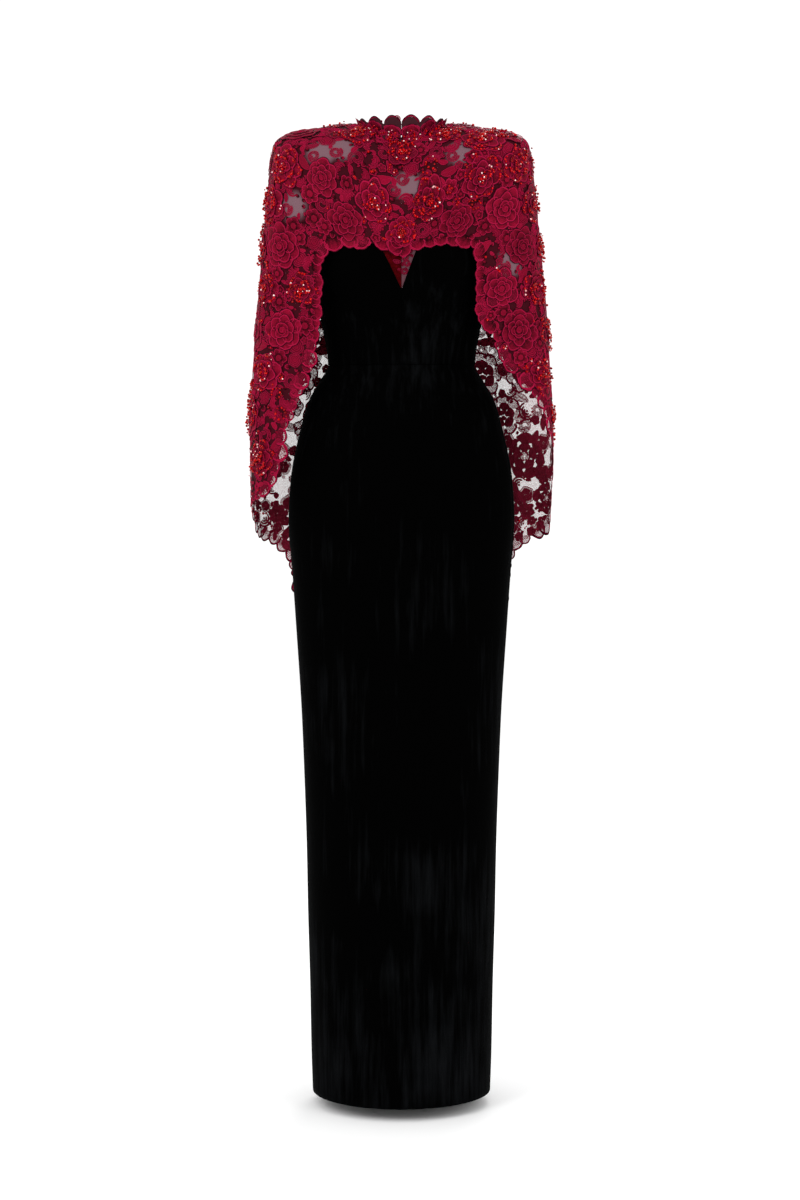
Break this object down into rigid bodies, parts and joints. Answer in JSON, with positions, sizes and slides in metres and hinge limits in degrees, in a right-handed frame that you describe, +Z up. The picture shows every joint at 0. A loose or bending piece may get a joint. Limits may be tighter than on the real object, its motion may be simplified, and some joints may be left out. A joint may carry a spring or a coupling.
{
  "type": "evening gown",
  "caption": "Worn hollow evening gown: strapless velvet column with a V notch under a high-necked, squared-shoulder scalloped lace cape that opens below the chest.",
  "frame": {"origin": "middle of the waist seam, where the wearer holds the gown up", "axes": "+Z up along the body, the front faces -Y, +X to the viewer's right as seen from the front"},
  "size_m": [0.479, 0.3038, 1.5496],
  "materials": {
    "velvet": "black velvet with a short upright nap",
    "notch_lace": "dark red corded lace on fine net",
    "lace": "burgundy embroidered lace with beads on fine net",
    "covered_button": "satin-covered dome",
    "zip_tape": "matt coil zip",
    "zip_metal": "black enamelled metal",
    "beads": "small faceted red glass beads"
  },
  "bodies": {
    "gown": {"bodice_front_left": "velvet", "bodice_front_right": "velvet", "bodice_side_left": "velvet", "bodice_side_right": "velvet", "bodice_back_left": "velvet", "bodice_back_right": "velvet", "skirt_front": "velvet", "skirt_back_left": "velvet", "skirt_back_right": "velvet", "notch_insert_left": "notch_lace", "notch_insert_right": "notch_lace", "cape_front": "lace", "cape_back_left": "lace", "cape_back_right": "lace", "collar": "lace", "collar_button_upper": "covered_button", "collar_button_lower": "covered_button", "back_zip": "zip_tape", "zip_slider": "zip_metal"},
    "zip_pull": {"zip_pull": "zip_metal"}
  },
  "joints": [
    {"name": "zip_pull_hinge", "type": "hinge", "parent": "gown", "child": "zip_pull", "pos_m": [0, 0.09626, 0.158], "axis": [1, 0, 0], "range_deg": [0, 150]}
  ]
}
